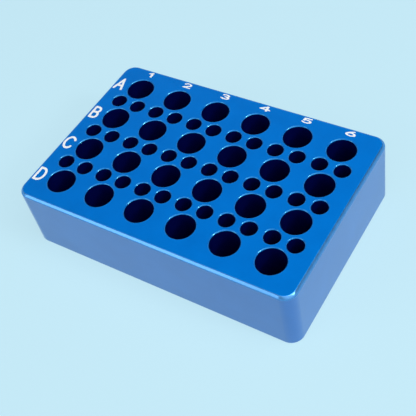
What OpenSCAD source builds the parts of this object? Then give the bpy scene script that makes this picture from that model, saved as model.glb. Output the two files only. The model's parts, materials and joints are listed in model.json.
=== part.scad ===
// Cooling block for laboratory tubes, machined from one piece of aluminium.
// Large wells for 1.5 ml tubes stand in lettered rows and numbered columns.
// Rows of small wells for strips of 0.2 ml tubes lie between them.
// Origin: centre of the underside. +X runs along the rows, +Y towards row A, +Z up.

/* [Well grid] */
// Columns of large wells, along X
columns = 6; // [2:1:10]
// Rows of large wells, along Y
rows = 4; // [2:1:8]
// Distance between neighbouring large wells, both ways
large_pitch = 18; // [17:0.25:24]
// Distance between neighbouring tubes of a strip
small_pitch = 9; // [7.5:0.25:10]

/* [Large wells] */
// Bore of a large well, a loose fit on a 1.5 ml tube
large_bore = 11; // [9:0.1:12]
// Metal left under the point of a large well
large_floor = 2.7; // [1.5:0.1:6]

/* [Small wells] */
// Bore of a small well, a loose fit on a 0.2 ml tube
small_bore = 6.2; // [5:0.1:7]
// Depth of a small well at full bore
small_depth = 16; // [8:0.5:18]

/* [Well ends] */
// Width of the chamfer round each well's mouth
mouth_chamfer = 0.3; // [0.1:0.05:0.7]
// Included angle of the drill point at each well's end
point_angle = 118; // [90:1:140]

/* [Block] */
// Height of the block
block_h = 28; // [24:0.5:45]
// From the end columns' axes to the end faces
end_margin = 13.5; // [10:0.25:25]
// From the outer rows' axes to the long faces
side_margin = 11.75; // [8:0.25:20]
// Radius of the four upright corners
corner_r = 5; // [1.5:0.25:8]
// Chamfer round the top face
top_chamfer = 1; // [0.1:0.05:1.4]
// Chamfer round the underside
bottom_chamfer = 0.4; // [0.1:0.05:1.2]

/* [Hidden] */
$fn = 96;
block_l = (columns - 1) * large_pitch + 2 * end_margin;
block_w = (rows - 1) * large_pitch + 2 * side_margin;
large_depth = block_h - large_floor - point_h(large_bore);
overcut = 1; // how far each cutter stands above the top face

// Height of the drill point at the end of a bore
function point_h(bore) = bore / 2 / tan(point_angle / 2);

// Places from the middle of a row of `count` things that lie `pitch` apart
function places(count, pitch) = [for (i = [0:count - 1]) (i - (count - 1) / 2) * pitch];

// What the drill and the countersink take out, below a mouth at the origin
module well(bore, depth) {
    r = bore / 2;
    mouth_r = r + mouth_chamfer;
    rotate_extrude()
        polygon([
            [0, -depth - point_h(bore)],
            [r, -depth],
            [r, -mouth_chamfer],
            [mouth_r + overcut, overcut],
            [0, overcut],
        ]);
}

// One large well at each crossing of the rows and columns
module large_wells() {
    for (x = places(columns, large_pitch), y = places(rows, large_pitch))
        translate([x, y, block_h]) well(large_bore, large_depth);
}

// A pair of small wells across each column's line, midway between the rows
module small_wells() {
    for (x = places(columns, large_pitch), y = places(rows - 1, large_pitch))
        for (dx = places(2, small_pitch))
            translate([x + dx, y, block_h]) well(small_bore, small_depth);
}

// Half of the blank's section, out from its middle, with its top and bottom edges broken
module half_section(reach) {
    polygon([
        [0, 0],
        [reach - bottom_chamfer, 0],
        [reach, bottom_chamfer],
        [reach, block_h - top_chamfer],
        [reach - top_chamfer, block_h],
        [0, block_h],
    ]);
}

module section(width) {
    half_section(width / 2);
    mirror([1, 0]) half_section(width / 2);
}

// The milled blank: a bar each way, and a quarter turn of the section at each corner
module blank() {
    corner_x = block_l / 2 - corner_r;
    corner_y = block_w / 2 - corner_r;
    rotate([90, 0, 90]) linear_extrude(2 * corner_x, center = true) section(block_w);
    rotate([90, 0, 0]) linear_extrude(2 * corner_y, center = true) section(block_l);
    for (quarter = [0:3]) {
        side_x = quarter == 0 || quarter == 3 ? 1 : -1;
        side_y = quarter < 2 ? 1 : -1;
        translate([side_x * corner_x, side_y * corner_y, 0])
            rotate(90 * quarter) rotate_extrude(angle = 90) half_section(corner_r);
    }
}

module block() {
    color([0.0, 0.43, 0.8])
        difference() {
            blank();
            large_wells();
            small_wells();
        }
}

block();
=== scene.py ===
import json
import math
import bmesh
import bpy
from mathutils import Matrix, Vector


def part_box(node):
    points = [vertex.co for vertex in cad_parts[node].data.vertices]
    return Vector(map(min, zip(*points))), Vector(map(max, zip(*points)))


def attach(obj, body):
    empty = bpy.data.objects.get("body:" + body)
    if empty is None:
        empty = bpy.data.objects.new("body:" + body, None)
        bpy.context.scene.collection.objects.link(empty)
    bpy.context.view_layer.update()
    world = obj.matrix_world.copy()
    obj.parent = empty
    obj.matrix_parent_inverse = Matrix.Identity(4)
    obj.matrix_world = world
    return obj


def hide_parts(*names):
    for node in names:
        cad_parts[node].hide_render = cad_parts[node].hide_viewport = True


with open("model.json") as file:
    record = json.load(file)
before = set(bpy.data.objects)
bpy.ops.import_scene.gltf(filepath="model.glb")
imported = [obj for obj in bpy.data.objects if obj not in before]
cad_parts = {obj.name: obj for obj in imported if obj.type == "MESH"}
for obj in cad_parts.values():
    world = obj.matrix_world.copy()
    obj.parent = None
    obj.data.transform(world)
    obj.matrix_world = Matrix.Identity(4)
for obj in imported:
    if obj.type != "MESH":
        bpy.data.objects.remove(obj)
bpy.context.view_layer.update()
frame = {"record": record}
mm = 0.001
near = 0.005 * mm                # heights closer than this are the same

blockLow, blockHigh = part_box("block")
wells = [mount for mount in frame["record"]["mounts"] if mount["kind"] == "bore"]
print("frame loaded,", len(wells), "wells")


# small helpers for work by hand
def onlySelect(piece):
    bpy.ops.object.select_all(action="DESELECT")
    piece.select_set(True)
    bpy.context.view_layer.objects.active = piece


def startEditing(piece, kind):
    onlySelect(piece)
    bpy.ops.object.mode_set(mode="EDIT")
    bpy.ops.mesh.select_mode(type=kind)
    bpy.ops.mesh.select_all(action="DESELECT")


def pickEdges(piece, wanted):
    shape = bmesh.from_edit_mesh(piece.data)
    for edge in shape.edges:
        if wanted(edge.verts[0].co, edge.verts[1].co):
            edge.select_set(True)
    bmesh.update_edit_mesh(piece.data)


def pickFaces(piece, wanted):
    shape = bmesh.from_edit_mesh(piece.data)
    for face in shape.faces:
        if wanted(face.calc_center_median(), face.normal):
            face.select_set(True)
    bmesh.update_edit_mesh(piece.data)


def stopEditing():
    bpy.ops.object.mode_set(mode="OBJECT")


def bothAt(height):
    return lambda a, b: abs(a.z - height) < near and abs(b.z - height) < near


# the milled blank
blank = {
    "cornerRadius": 5.0 * mm,    # of the upright corners
    "cornerSteps": 14,
    "topChamfer": 1.0 * mm,
    "bottomChamfer": 0.4 * mm,
    "topRounding": 0.35 * mm,    # on both edges of the top chamfer
    "bottomRounding": 0.12 * mm,
    "roundingSteps": 4,
    "smoothBelow": 40,           # degrees, sharper edges stay sharp
}


def millBlank():
    size = blockHigh - blockLow
    bpy.ops.object.select_all(action="DESELECT")
    bpy.ops.mesh.primitive_cube_add(size=1, location=(blockLow + blockHigh) / 2)
    block = bpy.context.active_object
    block.name = "coolingBlock"
    block.scale = size
    bpy.ops.object.transform_apply(location=True, rotation=True, scale=True)

    startEditing(block, "EDGE")
    pickEdges(block, lambda a, b: abs(a.z - b.z) > size.z / 2)
    bpy.ops.mesh.bevel(offset=blank["cornerRadius"], segments=blank["cornerSteps"], affect="EDGES")
    for height, chamfer, inward, rounding in (
        (blockHigh.z, blank["topChamfer"], -1, blank["topRounding"]),
        (blockLow.z, blank["bottomChamfer"], 1, blank["bottomRounding"]),
    ):
        bpy.ops.mesh.select_all(action="DESELECT")
        pickEdges(block, bothAt(height))
        bpy.ops.mesh.bevel(offset=chamfer, segments=1, affect="EDGES")
        bpy.ops.mesh.select_all(action="DESELECT")
        pickEdges(block, bothAt(height))
        pickEdges(block, bothAt(height + inward * chamfer))
        bpy.ops.mesh.bevel(offset=rounding, segments=blank["roundingSteps"], affect="EDGES")
    stopEditing()
    return block


# the drilled wells
drill = {
    "pointAngle": 118,           # degrees across the drill's point
    "softening": 0.1 * mm,       # of the chamfer's own edges
    "lead": 0.01 * mm,           # how far the softened edge runs on above the top face, to cross it cleanly
    "clear": 1.0 * mm,           # how far the cutter stands above the top face
    "steps": {"large": 72, "small": 48},
    "largeOver": 4.0 * mm,       # a bore above this radius is a large one
}


def isLarge(well):
    return well["dims"]["r_mm"] * mm > drill["largeOver"]


# half of a well's outline as radius and height, from above the top face down to the drill's point
def wellProfile(radius, length, chamfer):
    soft = drill["softening"]
    diagonal = soft / math.sqrt(2)
    turn = math.radians(22.5)                        # half of the chamfer's 45 degrees
    bend = soft / math.tan(turn)                     # radius of the softened edges
    mid = bend * (1 - math.cos(turn)), bend * math.sin(turn)
    outer = radius + chamfer
    lead = drill["lead"]
    slope = mid[0] / mid[1]
    point = radius / math.tan(math.radians(drill["pointAngle"] / 2))
    return [
        (outer + soft + lead / slope, drill["clear"]),
        (outer + soft + lead / slope, lead),
        (outer + soft - mid[1], -mid[0]),
        (outer - diagonal, -diagonal),
        (radius + diagonal, diagonal - chamfer),
        (radius + mid[0], mid[1] - chamfer - soft),
        (radius, -chamfer - soft),
        (radius, -chamfer - length),
        (0, -chamfer - length - point),
    ]


def turnCutter(name, profile, steps):
    radius, height = profile[0]
    bpy.ops.object.select_all(action="DESELECT")
    bpy.ops.mesh.primitive_circle_add(vertices=steps, radius=radius, fill_type="NGON")
    cutter = bpy.context.active_object
    cutter.name = name
    bpy.ops.object.mode_set(mode="EDIT")
    bpy.ops.mesh.select_all(action="SELECT")
    bpy.ops.transform.translate(value=(0, 0, height))
    for nextRadius, nextHeight in profile[1:]:
        bpy.ops.mesh.extrude_region_move(TRANSFORM_OT_translate={"value": (0, 0, nextHeight - height)})
        scale = nextRadius / radius
        bpy.ops.transform.resize(value=(scale, scale, 1), center_override=(0, 0, nextHeight))
        radius, height = nextRadius, nextHeight
    bpy.ops.mesh.merge(type="CENTER")
    bpy.ops.mesh.select_all(action="SELECT")
    bpy.ops.mesh.normals_make_consistent(inside=False)
    stopEditing()
    return cutter


def drillWells(block):
    masters = {}
    cutters = []
    for well in wells:
        radius = well["dims"]["r_mm"] * mm
        wallTop = Vector(well["pos_m"])
        kind = "large" if isLarge(well) else "small"
        if kind not in masters:
            profile = wellProfile(radius, well["dims"]["length_mm"] * mm, blockHigh.z - wallTop.z)
            masters[kind] = turnCutter(kind + "Cutter", profile, drill["steps"][kind])
            # the cutters carry the near-black wall colour, which is painted shade
            masters[kind].data.materials.append(bpy.data.materials["shadedBoreWall"])
        cutter = masters[kind].copy()
        cutter.data = masters[kind].data.copy()
        cutter.location = (wallTop.x, wallTop.y, blockHigh.z)
        bpy.context.collection.objects.link(cutter)
        cutters.append(cutter)
    onlySelect(cutters[0])
    for cutter in cutters:
        cutter.select_set(True)
    bpy.ops.object.join()
    allCutters = bpy.context.active_object
    bpy.ops.object.transform_apply(location=True, rotation=True, scale=True)

    onlySelect(block)
    cut = block.modifiers.new("wells", "BOOLEAN")
    cut.operation = "DIFFERENCE"
    cut.solver = "EXACT"
    cut.material_mode = "TRANSFER"
    cut.object = allCutters
    bpy.ops.object.modifier_apply(modifier=cut.name)
    for spent in [allCutters, *masters.values()]:
        bpy.data.objects.remove(spent, do_unlink=True)


def giveFinish(block, name, wanted):
    block.data.materials.append(bpy.data.materials[name])
    startEditing(block, "FACE")
    pickFaces(block, wanted)
    block.active_material_index = len(block.data.materials) - 1
    bpy.ops.object.material_slot_assign()
    stopEditing()


# how far up a face looks, from 0 on an upright one to 1 on a level one
finishSlopes = {
    "upright": 0.02,
    "rim": (0.02, 0.92),         # the soft turn into the top face stays satin
    "mouth": (0.02, 0.9999),
}


def finishBlock(block):
    reach = blank["topChamfer"] + blank["topRounding"]
    chamferFoot = blockHigh.z - reach
    cornerX = blockHigh.x - blank["cornerRadius"]
    cornerY = blockHigh.y - blank["cornerRadius"]

    def onRim(centre):
        x = abs(centre.x)
        y = abs(centre.y)
        if x > cornerX and y > cornerY:
            return math.hypot(x - cornerX, y - cornerY) > blank["cornerRadius"] - reach
        return x > blockHigh.x - reach or y > blockHigh.y - reach

    def isRim(centre, normal):
        low, high = finishSlopes["rim"]
        return centre.z > chamferFoot and low < normal.z < high and onRim(centre)

    def isMouth(centre, normal):
        low, high = finishSlopes["mouth"]
        return centre.z > chamferFoot and low < normal.z < high and not onRim(centre)

    def isSide(centre, normal):
        return abs(normal.z) < finishSlopes["upright"] and onRim(centre)

    # the chamfer round the top takes the lighter copy of the dye: painted highlight
    giveFinish(block, "rimEdgeHighlight", isRim)
    giveFinish(block, "mouthEdge", isMouth)
    # the upright sides take the darker copy of the dye: painted shade
    giveFinish(block, "shadedSatinSide", isSide)
    onlySelect(block)
    bpy.ops.object.shade_smooth_by_angle(angle=math.radians(blank["smoothBelow"]))
    even = block.modifiers.new("even", "WEIGHTED_NORMAL")
    even.keep_sharp = True
    bpy.ops.object.modifier_apply(modifier=even.name)


def makeBlock():
    block = millBlank()
    block.data.materials.append(bpy.data.materials["satinBlue"])
    drillWells(block)
    finishBlock(block)
    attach(block, "root")
    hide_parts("block")
    print("block drilled,", len(block.data.polygons), "faces")


def newMaterial(name, look):
    material = bpy.data.materials.new(name)
    material.use_nodes = True
    tree = material.node_tree
    shader = tree.nodes["Principled BSDF"]
    for socket, value in look.items():
        shader.inputs[socket].default_value = value
    return tree, shader


def opaque(colour):
    return (*colour, 1.0)


# a socket takes a link from another node, or a plain value
def feed(tree, socket, value):
    if isinstance(value, bpy.types.NodeSocket):
        tree.links.new(value, socket)
    else:
        socket.default_value = value


def addMath(tree, operation, first, second):
    step = tree.nodes.new("ShaderNodeMath")
    step.operation = operation
    feed(tree, step.inputs[0], first)
    feed(tree, step.inputs[1], second)
    return step.outputs["Value"]


def addMix(tree, share, first, second):
    mix = tree.nodes.new("ShaderNodeMix")
    mix.data_type = "RGBA"
    feed(tree, mix.inputs["Factor"], share)
    feed(tree, mix.inputs["A"], first)
    feed(tree, mix.inputs["B"], second)
    return mix.outputs["Result"]


noiseDetail = {"clouds": 4, "patches": 3, "grain": 2}
noiseRange = (0.3, 0.7)          # the part of 0 to 1 that a noise mostly fills
wavePeriod = math.pi / 10        # of a wave texture at scale 1
waver = {"Distortion": 1.2, "Detail": 2, "Detail Scale": 0.4}     # of the lines that a cutter leaves


def addNoise(tree, size, kind):
    place = tree.nodes.new("ShaderNodeTexCoord")
    noise = tree.nodes.new("ShaderNodeTexNoise")
    noise.inputs["Scale"].default_value = 1 / size
    noise.inputs["Detail"].default_value = noiseDetail[kind]
    tree.links.new(place.outputs["Object"], noise.inputs["Vector"])
    return noise.outputs["Fac"]


def addRings(tree, pitch):
    place = tree.nodes.new("ShaderNodeTexCoord")
    rings = tree.nodes.new("ShaderNodeTexWave")
    rings.bands_direction = "Z"
    rings.inputs["Scale"].default_value = wavePeriod / pitch
    for socket, value in waver.items():
        rings.inputs[socket].default_value = value
    tree.links.new(place.outputs["Object"], rings.inputs["Vector"])
    return rings.outputs["Fac"]


def spread(tree, value, low, high):
    scale = tree.nodes.new("ShaderNodeMapRange")
    scale.inputs["From Min"].default_value, scale.inputs["From Max"].default_value = noiseRange
    scale.inputs["To Min"].default_value = low
    scale.inputs["To Max"].default_value = high
    tree.links.new(value, scale.inputs["Value"])
    return scale.outputs["Result"]


def varyColour(tree, shader, value, dark, light):
    tone = addMix(tree, spread(tree, value, 0, 1), opaque(dark), opaque(light))
    tree.links.new(tone, shader.inputs["Base Color"])


def varyRoughness(tree, shader, value, low, high):
    tree.links.new(spread(tree, value, low, high), shader.inputs["Roughness"])


# each bump lies on the one before it
def addBump(tree, shader, heights):
    under = None
    for value, depth in heights:
        bump = tree.nodes.new("ShaderNodeBump")
        bump.inputs["Distance"].default_value = depth
        tree.links.new(value, bump.inputs["Height"])
        if under:
            tree.links.new(under, bump.inputs["Normal"])
        under = bump.outputs["Normal"]
    tree.links.new(under, shader.inputs["Normal"])


# the satin anodising that the top and the underside carry
satin = {
    "shader": {"Metallic": 0.1, "IOR": 1.6, "Specular Tint": (0.0, 0.8, 1.0, 1.0)},
    "dark": (0.0, 0.165, 0.63),
    "light": (0.0, 0.184, 0.69),
    "roughness": (0.33, 0.41),
    "cloud": 9 * mm,             # size of the faint clouds in the dye
    "grain": 0.22 * mm,          # size of the blasted grain
    "grainDepth": 0.006 * mm,
}

# the top's dye on the upright sides as a darker copy, which is painted shade, under a white coat that makes
# them look greyer
shadedSatinSide = {
    "shader": {
        "IOR": 1.5, "Specular Tint": (0.9, 1.0, 1.0, 1.0),
        "Coat Weight": 1.0, "Coat IOR": 1.5, "Coat Roughness": 0.35,
    },
    # both tones lie below the top's: painted shade on the sides
    "dark": (0.003, 0.143, 0.545),
    "light": (0.006, 0.163, 0.6),
    "roughness": (0.36, 0.44),
    "cloud": 11 * mm,
    "grain": 0.25 * mm,
    "grainDepth": 0.008 * mm,
}


def makeSatin(name, look):
    tree, shader = newMaterial(name, look["shader"])
    clouds = addNoise(tree, look["cloud"], "clouds")
    grain = addNoise(tree, look["grain"], "grain")
    varyColour(tree, shader, clouds, look["dark"], look["light"])
    varyRoughness(tree, shader, grain, *look["roughness"])
    addBump(tree, shader, [(grain, look["grainDepth"])])


# the chamfer round the top, as a lighter, more metallic copy of the dye: the lighter colour is painted
# highlight along the top edge
rimEdgeHighlight = {
    "shader": {"Metallic": 0.6, "IOR": 1.6},
    "dark": (0.068, 0.28, 0.64),
    "light": (0.088, 0.31, 0.69),
    "roughness": (0.22, 0.26),
    "patch": 3.0 * mm,           # size of the patches in the film
    "cutterLine": 0.12 * mm,     # from one fine line of the cutter to the next
    "cutterDepth": 0.001 * mm,
}

# the countersink at each well's mouth
mouthEdge = {
    "shader": {"Metallic": 0.0, "IOR": 1.8, "Specular Tint": (0.25, 0.9, 1.0, 1.0)},
    "dark": (0.003, 0.145, 0.53),
    "light": (0.008, 0.175, 0.59),
    "roughness": (0.08, 0.12),
    "patch": 1.2 * mm,
    "cutterLine": 0.1 * mm,
    "cutterDepth": 0.0008 * mm,
}


def makeEdge(name, look):
    tree, shader = newMaterial(name, look["shader"])
    patches = addNoise(tree, look["patch"], "patches")
    varyColour(tree, shader, patches, look["dark"], look["light"])
    varyRoughness(tree, shader, patches, *look["roughness"])
    lines = addRings(tree, look["cutterLine"])
    addBump(tree, shader, [(lines, look["cutterDepth"])])


# the drilled walls, with the fine rings that a drill leaves, coloured near black: painted shade for the
# dark inside of the wells
bore = {
    "shader": {"IOR": 1.2, "Specular Tint": (0.0, 0.1, 1.0, 1.0)},
    # near black, far below the dye on the top: painted shade
    "dark": (0.0004, 0.001, 0.04),
    "light": (0.0008, 0.003, 0.075),
    "roughness": (0.35, 0.5),
    "ring": 0.35 * mm,
    "ringDepth": 0.006 * mm,
    "grain": 0.15 * mm,
    "grainDepth": 0.003 * mm,
}


def makeBoreWall():
    tree, shader = newMaterial("shadedBoreWall", bore["shader"])
    rings = addRings(tree, bore["ring"])
    grain = addNoise(tree, bore["grain"], "grain")
    varyColour(tree, shader, rings, bore["dark"], bore["light"])
    varyRoughness(tree, shader, grain, *bore["roughness"])
    addBump(tree, shader, [(grain, bore["grainDepth"]), (rings, bore["ringDepth"])])


# the white marks' ink
ink = {
    "shader": {"IOR": 1.45},
    "dark": (0.84, 0.88, 0.91),
    "light": (0.93, 0.95, 0.96),
    "roughness": (0.45, 0.6),
    "speckle": 0.3 * mm,
    "grain": 0.08 * mm,
    "grainDepth": 0.002 * mm,
}


def makeInk():
    tree, shader = newMaterial("whiteInk", ink["shader"])
    speckle = addNoise(tree, ink["speckle"], "patches")
    varyColour(tree, shader, speckle, ink["dark"], ink["light"])
    varyRoughness(tree, shader, speckle, *ink["roughness"])
    grain = addNoise(tree, ink["grain"], "grain")
    addBump(tree, shader, [(grain, ink["grainDepth"])])


makeSatin("satinBlue", satin)
# the sides' darker copy of the dye is painted shade
makeSatin("shadedSatinSide", shadedSatinSide)
# the rim's lighter copy of the dye is painted highlight
makeEdge("rimEdgeHighlight", rimEdgeHighlight)
makeEdge("mouthEdge", mouthEdge)
makeBoreWall()
makeInk()
print("materials made")
makeBlock()


# the white letters and numbers
marks = {
    "pen": 1.0 * mm,             # width of a stroke
    "thickness": 0.03 * mm,      # how far the ink stands proud
    "sunk": 0.004 * mm,          # how far its underside lies below the face
    "penSteps": 4,
    "tipSteps": (24, 12),        # round a stroke's round end, and from pole to pole
    "voxel": 0.1 * mm,
    "cutNear": 0.001 * mm,       # points this near to the cut lie on it
    "weld": 0.0005 * mm,         # points closer than this become one
    "smoothBelow": 50,           # degrees, sharper edges stay sharp
    "arcStep": 12,               # degrees from one point of an arc to the next
    "letterHeight": 5.7 * mm,
    "letterSquash": 1.0,
    "letterX": -54.75 * mm,
    "letterShift": -0.35 * mm,   # from the row's own line
    "numberHeight": 4.3 * mm,
    "numberSquash": 0.52,        # the numbers are printed flattened
    "numberY": 35.8 * mm,
    "numberShift": -0.4 * mm,    # from the column's own line
}


def arc(centreX, centreY, radiusX, radiusY, start, end):
    steps = max(2, round(abs(end - start) / marks["arcStep"]))
    turns = [math.radians(start + (end - start) * step / steps) for step in range(steps + 1)]
    return [(centreX + radiusX * math.cos(turn), centreY + radiusY * math.sin(turn)) for turn in turns]


# width in millimetres, then smooth strokes in a box from 0 to 1
glyphs = {
    "A": (3.6, [[(0, 0), (0.5, 1)], [(0.5, 1), (1, 0)], [(0.19, 0.33), (0.81, 0.33)]]),
    "B": (2.9, [
        [(0, 0), (0, 1)],
        [(0, 1), *arc(0.5, 0.765, 0.42, 0.235, 90, -90), (0, 0.53)],
        [(0, 0.53), *arc(0.55, 0.265, 0.45, 0.265, 90, -90), (0, 0)],
    ]),
    "C": (3.6, [arc(0.55, 0.5, 0.55, 0.5, 38, 325)]),
    "D": (3.3, [[(0, 0), (0, 1)], [(0, 1), *arc(0.4, 0.5, 0.6, 0.5, 90, -90), (0, 0)]]),
    "1": (2.4, [[(0.1, 0.72), (0.6, 1)], [(0.6, 1), (0.6, 0)]]),
    "2": (2.8, [[*arc(0.5, 0.68, 0.47, 0.32, 170, -38), (0, 0)], [(0, 0), (1, 0)]]),
    "3": (3.1, [arc(0.48, 0.76, 0.42, 0.24, 150, -90), arc(0.48, 0.26, 0.5, 0.26, 90, -150)]),
    "4": (3.8, [[(0.72, 0), (0.72, 1)], [(0.72, 1), (0, 0.3)], [(0, 0.3), (1, 0.3)]]),
    "5": (3.3, [[(0.92, 1), (0.2, 1)], [(0.2, 1), (0.12, 0.52)], arc(0.47, 0.32, 0.5, 0.32, 130, -150)]),
    "6": (3.2, [[(0.78, 1), (0.3, 0.72), (0.04, 0.4)], arc(0.5, 0.31, 0.5, 0.31, 0, 360)]),
}


def drawMark(name, glyph, height, squash, place):
    width, strokes = glyph
    line = bpy.data.curves.new(name, "CURVE")
    line.dimensions = "3D"
    line.bevel_depth = marks["pen"] / 2
    line.bevel_resolution = marks["penSteps"]
    line.use_fill_caps = True
    mark = bpy.data.objects.new(name, line)
    bpy.context.collection.objects.link(mark)
    ends = []
    for stroke in strokes:
        points = [Vector(((x - 0.5) * width * mm, (y - 0.5) * height, 0)) for x, y in stroke]
        ends += [points[0], points[-1]]
        spline = line.splines.new("POLY")
        spline.points.add(len(points) - 1)
        for knot, point in zip(spline.points, points):
            knot.co = (*point, 1)
    onlySelect(mark)
    bpy.ops.object.convert(target="MESH")
    mark = bpy.context.active_object

    # a round pen leaves round ends
    tips = []
    around, poleToPole = marks["tipSteps"]
    for end in ends:
        bpy.ops.mesh.primitive_uv_sphere_add(
            segments=around, ring_count=poleToPole, radius=marks["pen"] / 2, location=end)
        tips.append(bpy.context.active_object)
    onlySelect(mark)
    for tip in tips:
        tip.select_set(True)
    bpy.ops.object.join()
    whole = mark.modifiers.new("whole", "REMESH")
    whole.mode = "VOXEL"
    whole.voxel_size = marks["voxel"]
    bpy.ops.object.modifier_apply(modifier=whole.name)

    # its lower half is cut away, and the rest is pressed flat on the top face
    flat = marks["thickness"] / (marks["pen"] / 2)
    startEditing(mark, "VERT")
    bpy.ops.mesh.select_all(action="SELECT")
    bpy.ops.mesh.bisect(
        plane_co=(0, 0, -marks["sunk"] / flat), plane_no=(0, 0, 1),
        use_fill=True, clear_inner=True, threshold=marks["cutNear"])
    bpy.ops.mesh.select_all(action="SELECT")
    bpy.ops.mesh.normals_make_consistent(inside=False)
    stopEditing()
    mark.location = place
    mark.scale = (1, squash, flat)
    bpy.ops.object.transform_apply(location=True, rotation=True, scale=True)
    startEditing(mark, "VERT")
    bpy.ops.mesh.select_all(action="SELECT")
    bpy.ops.mesh.remove_doubles(threshold=marks["weld"])
    stopEditing()
    bpy.ops.object.shade_smooth_by_angle(angle=math.radians(marks["smoothBelow"]))
    mark.data.materials.append(bpy.data.materials["whiteInk"])
    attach(mark, "root")
    return len(mark.data.polygons)


def printMarks():
    top = blockHigh.z
    large = [well for well in wells if isLarge(well)]
    rows = sorted({well["pos_m"][1] for well in large}, reverse=True)
    columns = sorted({well["pos_m"][0] for well in large})
    faces = 0
    for letter, y in zip("ABCD", rows):
        place = (marks["letterX"], y + marks["letterShift"], top)
        faces += drawMark(
            "letter" + letter, glyphs[letter], marks["letterHeight"], marks["letterSquash"], place)
    for number, x in zip("123456", columns):
        place = (x + marks["numberShift"], marks["numberY"], top)
        faces += drawMark(
            "number" + number, glyphs[number], marks["numberHeight"], marks["numberSquash"], place)
    print("marks printed,", faces, "faces")


printMarks()


# the pale floor
floorLook = {
    "size": 6.0,                     # metres
    "colour": (0.56, 0.82, 0.93),
    "glow": 0.8,                     # the share of that colour that no shadow takes away
    "lit": 1.0,                      # how bright the lamps make a white floor
    "bounce": (0.4, 0.4, 0.4),       # what the floor throws back at the block's sides
    "shader": {"Roughness": 0.9, "Specular IOR Level": 0.0},
}


# 1 for what the eye sees, straight or in a mirroring or clear surface, and 0 for the rest
def seenRays(tree):
    rays = tree.nodes.new("ShaderNodeLightPath")
    seen = rays.outputs["Is Camera Ray"]
    for kind in ("Is Glossy Ray", "Is Transmission Ray"):
        seen = addMath(tree, "MAXIMUM", seen, rays.outputs[kind])
    return seen


def layFloor():
    bpy.ops.object.select_all(action="DESELECT")
    bpy.ops.mesh.primitive_plane_add(size=floorLook["size"])
    floor = bpy.context.active_object
    floor.name = "floor"
    tree, shader = newMaterial("paleFloor", floorLook["shader"])
    seen = seenRays(tree)
    shaded = [part * (1 - floorLook["glow"]) / floorLook["lit"] for part in floorLook["colour"]]
    colour = addMix(tree, seen, opaque(floorLook["bounce"]), opaque(shaded))
    tree.links.new(colour, shader.inputs["Base Color"])
    glow = addMath(tree, "MULTIPLY", seen, floorLook["glow"])
    shader.inputs["Emission Color"].default_value = opaque(floorLook["colour"])
    tree.links.new(glow, shader.inputs["Emission Strength"])
    floor.data.materials.append(bpy.data.materials["paleFloor"])
    print("floor laid")


layFloor()


# the way to each softbox, its distance and radius in metres, and how bright its face is
softboxes = {
    "right": ((0.80, 0.05, 0.60), 1.5, 0.15, 25.0),
    "left": ((-0.48, -0.76, 0.44), 1.0, 0.3, 2.3),
    "above": ((0.55, 0.0, 0.83), 0.45, 0.15, 2.5),
}


def addSoftbox(name, way, distance, radius, brightness):
    lamp = bpy.data.lights.new(name, "AREA")
    lamp.shape = "DISK"
    lamp.size = 2 * radius
    lamp.energy = brightness * (math.pi * radius) ** 2           # watts
    holder = bpy.data.objects.new(name, lamp)
    bpy.context.collection.objects.link(holder)
    direction = Vector(way).normalized()
    holder.location = direction * distance
    holder.rotation_euler = direction.to_track_quat("Z", "Y").to_euler()


# the light from all round, where a height is 0 at the horizon and 1 overhead
dome = {
    "base": 0.25,
    "band": (0.3, 0.12, 0.4),    # more light low down, full below one height and gone above the other
    "paleBand": (0.22, 0.4),     # the same two heights for the pale colour that the eye sees
    "paleLevel": 0.96,           # against the floor's colour
    # the way to each patch, how much it adds, and how many degrees out it is full and gone
    "patches": {
        "back": ((-0.62, 0.78, 0.1), 0.6, 8, 30),        # fills the two sides that face away
        "lobe": ((0.45, -0.25, 0.86), 1.3, 20, 50),      # big soft light overhead
        "flag": ((-0.46, 0.49, 0.74), -0.22, 20, 50),    # dark patch that the top face mirrors
        "shade": ((0.8, 0.55, 0.15), -0.52, 15, 60),     # dark card beside the right-hand side
    },
}


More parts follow.
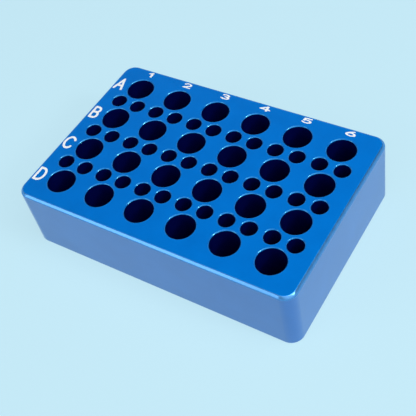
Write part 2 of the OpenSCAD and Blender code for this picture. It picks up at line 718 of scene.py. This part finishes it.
def lightDome():
    world = bpy.data.worlds.new("studioDome")
    bpy.context.scene.world = world
    world.use_nodes = True
    tree = world.node_tree
    coordinates = tree.nodes.new("ShaderNodeTexCoord")

    def facing(way):
        toward = tree.nodes.new("ShaderNodeVectorMath")
        toward.operation = "DOT_PRODUCT"
        toward.inputs[1].default_value = Vector(way).normalized()
        tree.links.new(coordinates.outputs["Generated"], toward.inputs[0])
        return toward.outputs["Value"]

    def fade(value, full, gone, amount):
        ramp = tree.nodes.new("ShaderNodeMapRange")
        ramp.interpolation_type = "SMOOTHSTEP"
        ramp.inputs["From Min"].default_value = gone
        ramp.inputs["From Max"].default_value = full
        ramp.inputs["To Max"].default_value = amount
        tree.links.new(value, ramp.inputs["Value"])
        return ramp.outputs["Result"]

    height = facing((0, 0, 1))
    amount, full, gone = dome["band"]
    total = addMath(tree, "ADD", dome["base"], fade(height, full, gone, amount))
    for way, amount, full, gone in dome["patches"].values():
        patch = fade(facing(way), math.cos(math.radians(full)), math.cos(math.radians(gone)), amount)
        total = addMath(tree, "ADD", total, patch)

    # the eye, and what mirrors it, sees the floor's pale colour go on above the horizon
    full, gone = dome["paleBand"]
    share = addMath(tree, "MULTIPLY", fade(height, full, gone, 1), seenRays(tree))
    pale = [part * dome["paleLevel"] for part in floorLook["colour"]]
    look = addMix(tree, share, total, opaque(pale))
    tree.links.new(look, tree.nodes["Background"].inputs["Color"])


for name, softbox in softboxes.items():
    addSoftbox(name + "Softbox", *softbox)
lightDome()
print("lights set,", len(softboxes), "softboxes and the dome")


# turned in degrees, its lens and sensor in millimetres
camera = {
    "place": (140.54 * mm, -155.27 * mm, 246.38 * mm),
    "turn": (40.384, 8.673, 30.580),
    "lens": 70.87,
    "sensor": 36.0,
    "shift": (-0.0337, -0.0216),
}

cameraData = bpy.data.cameras.new("camera")
cameraData.sensor_width = camera["sensor"]
cameraData.lens = camera["lens"]
cameraData.shift_x, cameraData.shift_y = camera["shift"]
cameraObject = bpy.data.objects.new("camera", cameraData)
bpy.context.collection.objects.link(cameraObject)
cameraObject.location = camera["place"]
cameraObject.rotation_euler = [math.radians(angle) for angle in camera["turn"]]
bpy.context.scene.camera = cameraObject
bpy.context.scene.view_settings.view_transform = "Standard"
print("camera set")
